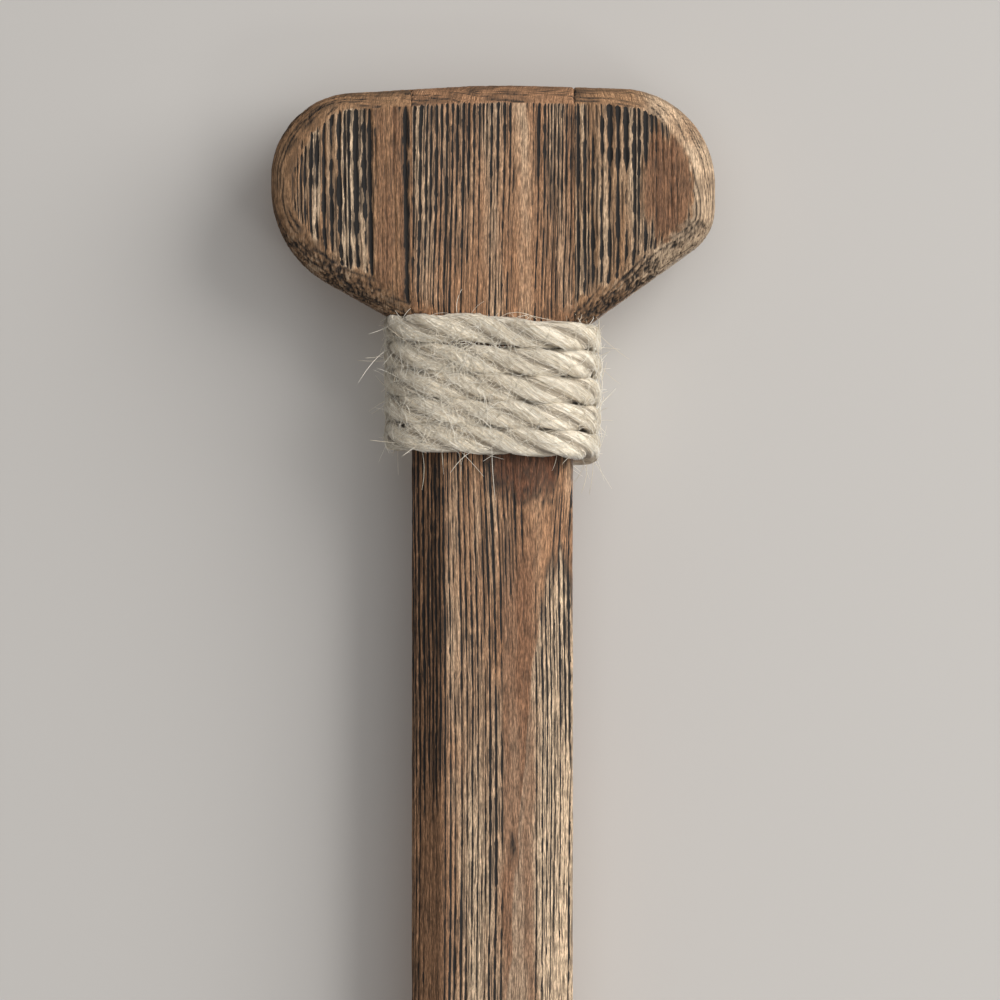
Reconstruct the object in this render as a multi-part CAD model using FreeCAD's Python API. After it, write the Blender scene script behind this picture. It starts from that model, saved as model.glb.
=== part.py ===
import FreeCAD, Part
import math
import os

# A wooden oar with a palm grip. All sizes are in millimetres.
#
# One long stick runs from the crown of the grip to the tip of the blade. Two cheeks are glued and
# dowelled to its sides to widen the grip, and two boards to widen the blade. A rope is wound round
# the neck under the grip, with a tack at the back through each of its ends.
#
# The pieces are modelled upright with x = 0 and y = 0 in the middle of the stick, z = 0 at the crown
# of the grip and the front towards -Y, so a depth below the crown is a negative z. save() then moves
# them to the part's own frame, whose origin is the middle of the shaft's flat back.

Vector = FreeCAD.Vector

# ---- Stick
LENGTH = 1500.0
STICK_WIDTH = 40.5
STICK_DEPTH = 28.0
CORNER_FLAT = 7.8  # leg of the 45 degree flat planed off each long corner
ARRIS = 1.2  # setback of the small arc that eases each edge of that flat
SQUARE_HEAD = 55.0  # depth down to which the stick keeps its square corners
SEAT_FOOT = 96.0  # depth of the lower end of the shallow seat that the rope is wound in
SEAT_SUNK = 0.4

# ---- Grip, one dictionary per side. Depths are below the crown, at the outline's sharp corners.
GRIP_LEFT = {"sign": -1, "reach": 55.2, "shoulder": 3.0, "shoulder_radius": 21.0}
GRIP_LEFT.update({"hip": 41.5, "hip_radius": 27.0, "foot": 55.0})
GRIP_RIGHT = {"sign": 1, "reach": 55.6, "shoulder": 1.5, "shoulder_radius": 24.0}
GRIP_RIGHT.update({"hip": 37.2, "hip_radius": 13.0, "foot": 58.0})
APEX = (3.7, -74.4, 12.0)  # where the two lower sides would meet, inside the stick
CROWN_RADIUS = 250.0
RIM_RADIUS = 7.0
GRIP_DOWEL_RADIUS = 4.0
GRIP_DOWEL_LENGTH = 84.0
GRIP_DOWEL_DEPTHS = (18.0, 38.0)

# ---- Rope
ROPE_RADIUS = 3.3
ROPE_PITCH = 6.7
ROPE_CLEARANCE = 0.05  # between the rope and the flats it is wound on
ROPE_TOP = 60.8  # depth of the rope's middle where its first pass meets the front's left corner
ROPE_CORNER = 8.0  # radius of the wood's corners as the rope feels them
FRONT_PASSES = 5
ROPE_END_X = 4.0  # both ends lie on the back, this far to either side of the middle

# ---- Tacks
TACK_X = 9.0
TACK_RADIUS = 0.9
TACK_LENGTH = 16.0
TACK_HEAD_RADIUS = 2.6
TACK_HEAD_THICKNESS = 0.9
TACK_SUNK = 1.2  # how far the underside of the head presses into the rope

# ---- Blade. Heights are above the sharp corner of the tip's outline.
BLADE_LENGTH = 470.0
BLADE_HALF_WIDTH = 75.0
ROOT_STEP = 5.0  # width of the blunt end where a board starts
ROOT_RADIUS = 4.0
WAIST = {"x": 36.0, "height": 415.0, "radius": 120.0}
HIP = {"x": BLADE_HALF_WIDTH, "height": 320.0, "radius": 110.0}
TOE = {"x": BLADE_HALF_WIDTH, "height": 14.0, "radius": 48.0}
TIP_RADIUS = 140.0
BOARD_JOINT_HALF_DEPTH = 6.0
BOARD_EDGE_HALF_DEPTH = 4.0
BOARD_EDGE_RADIUS = 2.5
RIB_TIP_HALF_DEPTH = 6.7
BLADE_DOWEL_RADIUS = 3.0
BLADE_DOWEL_LENGTH = 96.0
BLADE_DOWEL_HEIGHTS = (110.0, 220.0, 320.0)

GLUE_GAP = 0.05  # radial room round dowels and tacks

# ---- Worked out from the above
HALF_WIDTH = STICK_WIDTH / 2
HALF_DEPTH = STICK_DEPTH / 2
BLADE_ROOT_Z = BLADE_LENGTH - LENGTH
ORIGIN_Z = (BLADE_ROOT_Z - SEAT_FOOT) / 2
TIP_HALF_TURN = math.atan(TOE["height"] / BLADE_HALF_WIDTH)
TIP_CORNER_Z = -LENGTH - TIP_RADIUS * (1 / math.cos(TIP_HALF_TURN) - 1)
FAR = 400.0  # reaches past the oar's sides, front and back


def setback(before, corner, after, radius):
    """How far from a corner an arc of this radius leaves the corner's two sides."""
    turn = (corner - before).getAngle(after - corner)
    return radius * math.tan(turn / 2)


def eased_corner(before, corner, after, back):
    """Start, middle and end of the arc that leaves a corner's sides this far from it."""
    inward = (before - corner).normalize()
    onward = (after - corner).normalize()
    half_turn = (onward * -1).getAngle(inward) / 2
    radius = back / math.tan(half_turn)
    bisector = (inward + onward).normalize()
    centre = corner + bisector * (radius / math.cos(half_turn))
    return corner + inward * back, centre - bisector * radius, corner + onward * back


def rounded_wire(points, setbacks, closed=True):
    """Straight runs joined by tangent arcs. A corner with setback 0 stays sharp."""
    count = len(points)
    corners = []
    for i, back in enumerate(setbacks):
        if back > 0:
            corners.append(eased_corner(points[i - 1], points[i], points[(i + 1) % count], back))
        else:
            corners.append((points[i], None, points[i]))
    edges = []
    for i, (start, middle, end) in enumerate(corners):
        if middle is not None:
            edges.append(Part.Arc(start, middle, end).toShape())
        if closed or i + 1 < count:
            edges.append(Part.LineSegment(end, corners[(i + 1) % count][0]).toShape())
    return Part.Wire(edges)


def plate(corners, half_depth):
    """A plate whose outline has these (x, z, radius) corners, from -half_depth to +half_depth in y."""
    points = [Vector(x, -half_depth, z) for x, z, radius in corners]
    setbacks = []
    for i, (x, z, radius) in enumerate(corners):
        setbacks.append(setback(points[i - 1], points[i], points[(i + 1) % len(points)], radius))
    face = Part.Face(rounded_wire(points, setbacks))
    return face.extrude(Vector(0, 2 * half_depth, 0))


def slice_of_space(x0, x1, z0, z1):
    """A block between two x and two z values, deeper than the oar."""
    return Part.makeBox(x1 - x0, 2 * FAR, z1 - z0, Vector(x0, -FAR, z0))


def edges_in_plane(shape, y):
    """The shape's edges that lie in a plane of constant y."""
    boxes = [(edge, edge.BoundBox) for edge in shape.Edges]
    return [edge for edge, box in boxes if box.YLength < 1e-4 and abs(box.YMin - y) < 1e-4]


# ---- Grip


def grip_side(side):
    """The corners of one side of the grip's outline, from the hip up to the shoulder."""
    x = side["sign"] * side["reach"]
    return [(x, -side["hip"], side["hip_radius"]), (x, -side["shoulder"], side["shoulder_radius"])]


def crown_corner():
    """The blunt corner in the middle of the crown, so high that its arc just reaches z = 0."""
    mean_shoulder = (GRIP_LEFT["shoulder"] + GRIP_RIGHT["shoulder"]) / 2
    half_turn = math.atan(mean_shoulder / GRIP_LEFT["reach"])
    return (0, CROWN_RADIUS * (1 / math.cos(half_turn) - 1), CROWN_RADIUS)


def grip_plate():
    """The whole grip as one plate with a rounded rim, before it is split at the glued joints."""
    body = plate([APEX] + grip_side(GRIP_LEFT) + [crown_corner()] + grip_side(GRIP_RIGHT)[::-1], HALF_DEPTH)
    return body.makeFillet(RIM_RADIUS, edges_in_plane(body, -HALF_DEPTH) + edges_in_plane(body, HALF_DEPTH))


def across(radius, length, z):
    """A round rod along X, centred on the stick."""
    return Part.makeCylinder(radius, length, Vector(-length / 2, 0, z), Vector(1, 0, 0))


def grip_dowels():
    rods = [across(GRIP_DOWEL_RADIUS, GRIP_DOWEL_LENGTH, -depth) for depth in GRIP_DOWEL_DEPTHS]
    return Part.makeCompound(rods)


def grip_bores():
    """The dowels grown by their room for glue."""
    radius = GRIP_DOWEL_RADIUS + GLUE_GAP
    length = GRIP_DOWEL_LENGTH + 2 * GLUE_GAP
    return [across(radius, length, -depth) for depth in GRIP_DOWEL_DEPTHS]


def grip_cheek(side):
    """The part of the grip outside one face of the stick, cut square just above the rope."""
    x0, x1 = sorted((side["sign"] * HALF_WIDTH, side["sign"] * FAR))
    cheek = grip_plate().common(slice_of_space(x0, x1, -side["foot"], FAR))
    return cheek.cut(grip_bores())


# ---- Stick


def stick_section(half_depth, z, sunk=0.0):
    """The stick's eight-sided outline at one height, with its long edges slightly eased."""
    outer = HALF_WIDTH - sunk
    inner = outer - CORNER_FLAT
    side = HALF_DEPTH - sunk - CORNER_FLAT
    depth = half_depth - sunk
    front_left = [(-outer, -side), (-inner, -depth)]
    front_right = [(inner, -depth), (outer, -side)]
    back = [(-x, -y) for x, y in front_left + front_right]
    points = [Vector(x, y, z) for x, y in front_left + front_right + back]
    return rounded_wire(points, [ARRIS] * len(points))


def stick():
    head = grip_plate().common(slice_of_space(-HALF_WIDTH, HALF_WIDTH, -SQUARE_HEAD, FAR))
    seat_section = Part.Face(stick_section(HALF_DEPTH, -SEAT_FOOT, SEAT_SUNK))
    seat = seat_section.extrude(Vector(0, 0, SEAT_FOOT - SQUARE_HEAD))
    below_seat = Vector(0, 0, -SEAT_FOOT - BLADE_ROOT_Z)
    shaft = Part.Face(stick_section(HALF_DEPTH, BLADE_ROOT_Z)).extrude(below_seat)
    tip_section = stick_section(RIB_TIP_HALF_DEPTH, TIP_CORNER_Z)
    rib = Part.makeLoft([tip_section, stick_section(HALF_DEPTH, BLADE_ROOT_Z)], True, True)
    rib = rib.common(plate(blade_outline(), FAR))
    whole = head.fuse([seat, shaft, rib]).removeSplitter()
    return whole.cut(grip_bores() + blade_bores() + tack_bores())


# ---- Blade


def blade_side(sign):
    """The corners of one side of the blade's outline, from its root down to its toe."""
    root = BLADE_ROOT_Z
    corners = [
        (sign * HALF_WIDTH, root, 0),
        (sign * (HALF_WIDTH + ROOT_STEP), root, ROOT_RADIUS),
    ]
    for corner in (WAIST, HIP, TOE):
        corners.append((sign * corner["x"], TIP_CORNER_Z + corner["height"], corner["radius"]))
    return corners


def blade_outline():
    return blade_side(-1) + [(0, TIP_CORNER_Z, TIP_RADIUS)] + blade_side(1)[::-1]


def wedge(sign):
    """The space of one board: thickest at the stick, thinner towards the blade's edge."""
    outer = sign * BLADE_HALF_WIDTH
    points = [
        Vector(sign * HALF_WIDTH, -BOARD_JOINT_HALF_DEPTH, -LENGTH - FAR),
        Vector(outer, -BOARD_EDGE_HALF_DEPTH, -LENGTH - FAR),
        Vector(outer, BOARD_EDGE_HALF_DEPTH, -LENGTH - FAR),
        Vector(sign * HALF_WIDTH, BOARD_JOINT_HALF_DEPTH, -LENGTH - FAR),
    ]
    section = Part.Face(Part.makePolygon(points + points[:1]))
    return section.extrude(Vector(0, 0, LENGTH + FAR))


def blade_board(sign):
    board = plate(blade_outline(), FAR).common(wedge(sign))
    rim = []
    for edge in board.Edges:
        box = edge.BoundBox
        beyond_joint = max(abs(box.XMin), abs(box.XMax)) > HALF_WIDTH + 1e-3
        through = box.YMin < 0 < box.YMax
        if beyond_joint and not through:
            rim.append(edge)
    return board.makeFillet(BOARD_EDGE_RADIUS, rim).cut(blade_bores())


def blade_rods(radius, length):
    return [across(radius, length, height - LENGTH) for height in BLADE_DOWEL_HEIGHTS]


def blade_dowels():
    return Part.makeCompound(blade_rods(BLADE_DOWEL_RADIUS, BLADE_DOWEL_LENGTH))


def blade_bores():
    """The dowels grown by their room for glue."""
    return blade_rods(BLADE_DOWEL_RADIUS + GLUE_GAP, BLADE_DOWEL_LENGTH + 2 * GLUE_GAP)


# ---- Rope and tacks

ROPE_HALF_X = HALF_WIDTH - SEAT_SUNK + ROPE_CLEARANCE + ROPE_RADIUS
ROPE_HALF_Y = HALF_DEPTH - SEAT_SUNK + ROPE_CLEARANCE + ROPE_RADIUS
ROPE_BEND = ROPE_CORNER + ROPE_CLEARANCE + ROPE_RADIUS
ROPE_FALL = ROPE_PITCH / (4 * (ROPE_HALF_X + ROPE_HALF_Y))  # per millimetre along the square route


def rope_end_z(x):
    """Height of the rope's middle on the back, left of the middle near its start, right near its end."""
    if x < 0:
        return -ROPE_TOP + ROPE_FALL * (2 * ROPE_HALF_Y + ROPE_HALF_X + x)
    last_corner = -ROPE_TOP - ROPE_PITCH * (FRONT_PASSES - 1) - ROPE_FALL * 2 * (ROPE_HALF_X + ROPE_HALF_Y)
    return last_corner - ROPE_FALL * (ROPE_HALF_X - x)


def rope_route():
    """The square route's corners, winding anticlockwise from above and falling evenly."""
    points = [Vector(-ROPE_END_X, ROPE_HALF_Y, rope_end_z(-ROPE_END_X))]
    x, y, z = -ROPE_HALF_X, ROPE_HALF_Y, -ROPE_TOP + ROPE_FALL * 2 * ROPE_HALF_Y
    for _ in range(FRONT_PASSES):
        for next_x, next_y in ((x, -y), (-x, -y), (-x, y), (x, y)):
            points.append(Vector(x, y, z))
            z -= ROPE_FALL * (abs(next_x - points[-1].x) + abs(next_y - points[-1].y))
            x, y = next_x, next_y
    points.append(Vector(ROPE_END_X, ROPE_HALF_Y, rope_end_z(ROPE_END_X)))
    return points


def rope_centreline():
    """Runs along the flats joined by tangent arcs round the corners."""
    points = rope_route()
    setbacks = [0]
    for i in range(1, len(points) - 1):
        setbacks.append(setback(points[i - 1], points[i], points[i + 1], ROPE_BEND))
    setbacks.append(0)
    return rounded_wire(points, setbacks, closed=False)


def rope_binding():
    line = rope_centreline()
    start = line.Vertexes[0].Point
    along = (rope_route()[1] - start).normalize()
    section = Part.Wire(Part.makeCircle(ROPE_RADIUS, start, along))
    rope = line.makePipeShell([section], True, False)
    print("rope length", round(line.Length, 1), "bend radius", round(ROPE_BEND, 1))
    print("rope volume over section times length", rope.Volume / (math.pi * ROPE_RADIUS**2 * line.Length))
    return rope.cut(tacks_grown(GLUE_GAP))


def tack(x, grown=0.0):
    """A tack driven from the back. Its head lies under the rope's outermost point."""
    z = rope_end_z(x)
    under_head = ROPE_HALF_Y + ROPE_RADIUS - TACK_SUNK
    inward = Vector(0, -1, 0)
    shank = Part.makeCylinder(TACK_RADIUS + grown, TACK_LENGTH + grown, Vector(x, under_head, z), inward)
    head_radius = TACK_HEAD_RADIUS + grown
    head_height = TACK_HEAD_THICKNESS + (TACK_SUNK if grown else 0)
    head = Part.makeCylinder(head_radius, head_height, Vector(x, under_head, z), Vector(0, 1, 0))
    return head.fuse(shank)


def tacks_grown(gap):
    return [tack(x, gap) for x in (-TACK_X, TACK_X)]


def tack_bores():
    return tacks_grown(GLUE_GAP)


def rope_tacks():
    return Part.makeCompound([tack(x) for x in (-TACK_X, TACK_X)])


def save(name, shape):
    """Moves a piece to the part's frame and writes it."""
    shape.translate(Vector(0, -HALF_DEPTH, -ORIGIN_Z))
    solids = shape.Solids
    verdict = "valid" if shape.isValid() else "INVALID"
    print(name, len(solids), "solid(s)", round(shape.Volume), "mm3", verdict)
    shape.exportStep("parts/" + name + ".step")


os.makedirs("parts", exist_ok=True)
save("stick", stick())
save("grip_cheek_left", grip_cheek(GRIP_LEFT))
save("grip_cheek_right", grip_cheek(GRIP_RIGHT))
save("grip_dowels", grip_dowels())
save("blade_board_left", blade_board(-1))
save("blade_board_right", blade_board(1))
save("blade_dowels", blade_dowels())
save("rope_binding", rope_binding())
save("rope_tacks", rope_tacks())
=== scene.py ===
import math

import bmesh
import bpy
import numpy as np
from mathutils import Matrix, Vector


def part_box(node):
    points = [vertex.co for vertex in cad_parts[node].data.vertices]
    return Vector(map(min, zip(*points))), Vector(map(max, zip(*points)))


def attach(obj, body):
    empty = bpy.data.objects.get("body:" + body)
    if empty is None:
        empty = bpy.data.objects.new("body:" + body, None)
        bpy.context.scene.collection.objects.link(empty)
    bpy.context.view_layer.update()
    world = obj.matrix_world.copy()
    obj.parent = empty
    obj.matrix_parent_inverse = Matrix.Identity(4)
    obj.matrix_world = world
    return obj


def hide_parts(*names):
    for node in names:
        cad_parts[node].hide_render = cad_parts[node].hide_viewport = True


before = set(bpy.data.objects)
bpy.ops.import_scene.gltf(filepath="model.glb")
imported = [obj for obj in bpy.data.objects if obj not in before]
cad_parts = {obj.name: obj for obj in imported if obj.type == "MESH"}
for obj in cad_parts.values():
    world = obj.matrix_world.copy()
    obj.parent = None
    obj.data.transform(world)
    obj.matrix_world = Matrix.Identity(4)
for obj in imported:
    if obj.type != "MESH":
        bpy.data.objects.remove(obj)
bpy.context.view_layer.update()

# The looks of the wooden oar. Shapes are worked out in millimetres, with x = 0 and y = 0 in the middle
# of the stick, z = 0 at the crown and the front towards -y. to_frame() moves them to the row's frame.

stick_lo, stick_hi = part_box("stick")
left_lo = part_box("grip_cheek_left")[0]
right_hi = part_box("grip_cheek_right")[1]
rope_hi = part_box("rope_binding")[1]
blade_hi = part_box("blade_board_left")[1]

MM = 0.001
CROWN_Z = stick_hi.z
MIDDLE_Y = (stick_lo.y + stick_hi.y) / 2
HALF_WIDTH = (stick_hi.x - stick_lo.x) / 2 / MM
HALF_DEPTH = (stick_hi.y - stick_lo.y) / 2 / MM
LENGTH = (stick_hi.z - stick_lo.z) / MM
REACH_LEFT = -left_lo.x / MM
REACH_RIGHT = right_hi.x / MM


def to_frame(points):
    """Millimetres below the crown to metres in the row's frame."""
    return np.asarray(points, float) * MM + (0.0, MIDDLE_Y, CROWN_Z)


# ---- Camera, stage and light

VIEW_WIDTH = 0.2487  # metres across the picture at the oar's front
VIEW_CENTRE = (0.0019, -0.1034)  # to the right of the stick's middle, and below the crown
CAMERA_DISTANCE = 2.5
SENSOR = 36.0


def make_camera():
    data = bpy.data.cameras.new("camera")
    data.sensor_width = SENSOR
    data.lens = SENSOR * CAMERA_DISTANCE / VIEW_WIDTH
    data.clip_end = 50.0
    camera = bpy.data.objects.new("camera", data)
    bpy.context.scene.collection.objects.link(camera)
    camera.location = (VIEW_CENTRE[0], stick_lo.y - CAMERA_DISTANCE, CROWN_Z + VIEW_CENTRE[1])
    camera.rotation_euler = (math.radians(90), 0, 0)
    bpy.context.scene.camera = camera


def make_light(name, position, target, size, power, colour, spread=180.0):
    """A round soft light aimed at the target. spread is the whole angle that it lights, in degrees."""
    data = bpy.data.lights.new(name, "AREA")
    data.shape = "DISK"
    data.size = size
    data.energy = power
    data.color = colour
    data.spread = math.radians(spread)
    light = bpy.data.objects.new(name, data)
    bpy.context.scene.collection.objects.link(light)
    light.location = position
    aim = Vector(target) - Vector(position)
    light.rotation_euler = aim.to_track_quat("-Z", "Y").to_euler()


def new_material(name):
    """A material, its node tree and its shader."""
    material = bpy.data.materials.new(name)
    material.use_nodes = True
    tree = material.node_tree
    return material, tree, tree.nodes["Principled BSDF"]


def stage_material(name, colour):
    """A plain surface that is only there from its front, so that it hides nothing from behind."""
    material, tree, surface = new_material(name)
    nodes, links = tree.nodes, tree.links
    surface.inputs["Base Color"].default_value = (*colour, 1)
    surface.inputs["Roughness"].default_value = 0.9
    surface.inputs["Specular IOR Level"].default_value = 0.1
    clear = nodes.new("ShaderNodeBsdfTransparent")
    side = nodes.new("ShaderNodeNewGeometry")
    mix = nodes.new("ShaderNodeMixShader")
    links.new(side.outputs["Backfacing"], mix.inputs[0])
    links.new(surface.outputs[0], mix.inputs[1])
    links.new(clear.outputs[0], mix.inputs[2])
    links.new(mix.outputs[0], nodes["Material Output"].inputs["Surface"])
    return material


STAGE_REACH = 6.0
WALL_GAP = 0.0006  # from the CAD rope's back to the wall
FLOOR_GAP = 0.001
WALL_COLOUR = (0.53, 0.512, 0.492)
FLOOR_COLOUR = (0.62, 0.60, 0.575)


def make_plane(name, corners, material):
    mesh = bpy.data.meshes.new(name)
    mesh.from_pydata(corners, [], [(0, 1, 2, 3)])
    mesh.materials.append(material)
    plane = bpy.data.objects.new(name, mesh)
    bpy.context.scene.collection.objects.link(plane)
    plane.visible_shadow = False
    plane.visible_diffuse = False
    plane.visible_glossy = False


def make_stage():
    """A pale floor under the blade and a pale wall close behind the oar."""
    far = STAGE_REACH
    back = rope_hi.y + WALL_GAP
    foot = stick_lo.z - FLOOR_GAP
    wall = [(-far, back, foot), (far, back, foot), (far, back, far), (-far, back, far)]
    floor = [(-far, -far, foot), (far, -far, foot), (far, far, foot), (-far, far, foot)]
    make_plane("backdrop", wall, stage_material("pale_wall", WALL_COLOUR))
    make_plane("floor", floor, stage_material("pale_floor", FLOOR_COLOUR))


def make_lights():
    grip = Vector((0, MIDDLE_Y, CROWN_Z - 0.08))
    daylight = (1.0, 0.985, 0.96)
    make_light("window", grip + Vector((1.35, -1.0, 0.75)), grip, 1.75, 33.0, daylight)
    make_light("front_fill", grip + Vector((0.35, -2.0, 0.35)), grip, 2.6, 22.5, (1.0, 0.99, 0.98))
    low = Vector((0, MIDDLE_Y, stick_lo.z + 0.2))
    make_light("blade_light", low + Vector((0.9, -1.4, 0.35)), low, 0.5, 4.0, daylight, 90.0)
    shaft = low + Vector((0, 0, 0.6))
    make_light("back_light", low + Vector((0.5, 2.4, 0.5)), shaft, 1.6, 55.0, (1, 1, 1))
    world = bpy.data.worlds.new("studio")
    bpy.context.scene.world = world
    world.use_nodes = True
    background = world.node_tree.nodes["Background"]
    background.inputs["Color"].default_value = (0.86, 0.85, 0.84, 1)
    background.inputs["Strength"].default_value = 0.22
    bpy.context.scene.view_settings.view_transform = "Standard"


# ---- Repeatable noise


def random_of(cells, seed):
    """A repeatable number in 0..1 for each row of whole numbers."""
    mask = np.uint64(0xFFFFFFFF)
    mixed = np.full(len(cells), (seed * 2654435761 + 97) & 0xFFFFFFFF, np.uint64)
    for column in cells.T:
        mixed ^= column.astype(np.int64).astype(np.uint64) & mask
        mixed = (mixed * np.uint64(2246822519) + np.uint64(3266489917)) & mask
        mixed ^= mixed >> np.uint64(15)
    mixed = (mixed * np.uint64(668265263)) & mask
    mixed ^= mixed >> np.uint64(13)
    return (mixed & mask) / 4294967295.0


def noise(seed, *axes):
    """Smooth noise in -1..1 with one bump per unit of each axis."""
    places = np.stack([np.broadcast_to(a, axes[0].shape).ravel() for a in axes], 1)
    cells = np.floor(places)
    part = places - cells
    part = part * part * part * (part * (part * 6 - 15) + 10)
    total = np.zeros(len(places))
    for corner in range(2 ** len(axes)):
        step = np.array([(corner >> i) & 1 for i in range(len(axes))])
        weight = np.prod(np.where(step, part, 1 - part), axis=1)
        total += weight * random_of(cells + step, seed)
    return (total * 2 - 1).reshape(axes[0].shape)


def layered(seed, *axes):
    """Three sizes of noise added up."""
    total = noise(seed, *axes)
    total += 0.5 * noise(seed + 1, *[a * 2.1 for a in axes])
    total += 0.25 * noise(seed + 2, *[a * 4.3 for a in axes])
    return total / 1.4


def ramp(low, high, value):
    """0 below low, 1 above high and smooth between them."""
    t = np.clip((value - low) / (high - low), 0, 1)
    return t * t * (3 - 2 * t)


def patch(x, z, x0, x1, z0, z1, soft_x=1.0, soft_z=8.0):
    """1 inside a rectangle of the front, fading out over the soft margins."""
    across = ramp(x0 - soft_x, x0 + soft_x, x) * (1 - ramp(x1 - soft_x, x1 + soft_x, x))
    along = ramp(z0 - soft_z, z0 + soft_z, z) * (1 - ramp(z1 - soft_z, z1 + soft_z, z))
    return across * along


# ---- The solid wood that every plank is cut from

RING_COUNT = 1500


class Tree:
    """Growth rings round a pith, each with its own width, stain and depth of groove."""

    def __init__(self, seed, pith, ring, spread=0.8):
        draw = np.random.default_rng(seed)
        self.seed = seed
        self.pith = pith
        widths = ring * (1 - spread / 2 + spread * draw.random(RING_COUNT))
        self.centres = np.cumsum(widths)
        self.stain = draw.random(RING_COUNT)
        self.groove = 0.35 + 0.65 * draw.random(RING_COUNT)

    def at(self, x, y, z):
        """Place among the grooves, whole at the middle of each groove, and distance from the pith."""
        far = np.hypot(x - self.pith[0], y - self.pith[1])
        bend = 0.7 * noise(self.seed + 10, z / 85, y / 60)
        far = far + bend + 0.13 * noise(self.seed + 11, z / 17, far / 4)
        far = far + 0.06 * noise(self.seed + 12, z / 4, far / 1.2)
        far = far + 0.045 * noise(self.seed + 13, z / 1.5, far / 0.5)
        return np.interp(far, self.centres, np.arange(RING_COUNT)), far


def brushed(tree, x, y, z, mask, bold):
    """How deep the brush has cut, then what the material needs to draw the stained grooves."""
    phase, far = tree.at(x, y, z)
    number = np.round(phase).astype(int)
    lane = number * 3.7
    run = 0.5 + 0.5 * noise(tree.seed + 20, lane, z / 14)
    run = 0.6 * run + 0.4 * (0.5 + 0.5 * noise(tree.seed + 21, lane, z / 3.5))
    strength = ramp(0.72, 0.28, 0.6 * run + 0.4 * tree.stain[number] - 0.62 * (mask - 0.5))
    width = (0.11 + 0.10 * mask) * bold * (0.6 + 0.8 * tree.groove[number])
    valley = np.exp(-(((phase - number) / width) ** 2))
    between = np.floor(phase) * 3.7 + 0.5
    second = ramp(0.32, 0.70, 0.5 + 0.5 * noise(tree.seed + 24, between, z / 7)) * ramp(0.3, 0.7, mask)
    second_valley = second * np.exp(-(((np.abs(phase - number) - 0.5) / (0.5 * width)) ** 2))
    broken = ramp(0.2, 0.6, 0.5 + 0.5 * noise(tree.seed + 25, lane + 0.25, z / 2.2))
    chatter = 0.5 + 0.5 * noise(tree.seed + 23, far / 0.3, z / 1.2)
    hair = ramp(0.45, 0.85, 0.5 + 0.5 * noise(tree.seed + 22, far / 0.22, z / 5))
    cut = valley * (0.30 + 0.70 * strength) * tree.groove[number] + 0.5 * second_valley
    cut = cut + 0.25 * hair + 0.15 * chatter
    strength = bold * strength * (0.55 + 0.85 * mask) * (0.6 + 0.4 * broken)
    strength = strength + 0.55 * ramp(0.70, 1.05, mask) * (0.55 + 0.45 * noise(tree.seed + 26, lane, z / 16))
    return np.clip(cut, 0, 1.2), np.stack([phase, strength, second, far], 1)


def rim_grain(seed, x, y, z, slope, bristle):
    """Cut, stain and tone of the grip's rim: long lines along it, and rough end grain on its slopes."""
    level = y + 0.07 * x + 0.9 * noise(seed + 30, x / 17, z / 17) + 0.14 * noise(seed + 31, x / 3.5, z / 3.5)
    lane = np.floor(level / 0.62)
    share = level / 0.62 - lane
    run = 0.5 + 0.5 * noise(seed + 32, lane * 3.7, (x - z) / 8)
    valley = np.exp(-(((share - 0.5) / 0.15) ** 2))
    line = valley * ramp(0.3, 0.75, run)
    cut = 0.30 * line + 0.12 * noise(seed + 33, x / 1.5, y / 0.5, z / 1.5)
    stain = 0.72 * line + 0.32 * ramp(0.0, 0.8, layered(seed + 34, x / 5, y / 1.2, z / 5))
    rough = layered(seed + 35, x / 0.5, y / 0.45, z / 2.0) + 0.4 * noise(seed + 36, x / 5, y / 5, z / 5)
    pits = ramp(-0.1, 0.7, rough)
    cut = cut + slope * (0.9 * pits + 0.25 * noise(seed + 38, x / 0.5, y / 0.5, z / 0.5))
    stain = stain * (1 - 0.4 * slope) + slope * (0.62 * pits + 0.10)
    strokes = ramp(0.15, 0.5, layered(seed + 39, (x - z) / 0.55, y / 3.5, (x + z) / 3.0))
    stain = stain + 0.6 * bristle * strokes
    cut = cut + 0.5 * bristle * strokes
    tone = 0.35 * slope * ramp(0.1, -0.5, rough) + 0.12 * noise(seed + 41, x / 6, z / 6)
    return cut, np.clip(stain, 0, 1), tone


# ---- Where each plank is stained, pale, red or inked, and where the stick's left facet gets painted shade. Every rule gives those four numbers.


def streaky(x, z):
    """Frays the ends of every mark along the grain, and wobbles its sides."""
    frayed = z + 3.2 * noise(66, x / 0.8, z / 30) + 1.5 * noise(67, x / 2.5, z / 12)
    return x + 0.5 * noise(65, z / 6, x / 4), frayed


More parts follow.
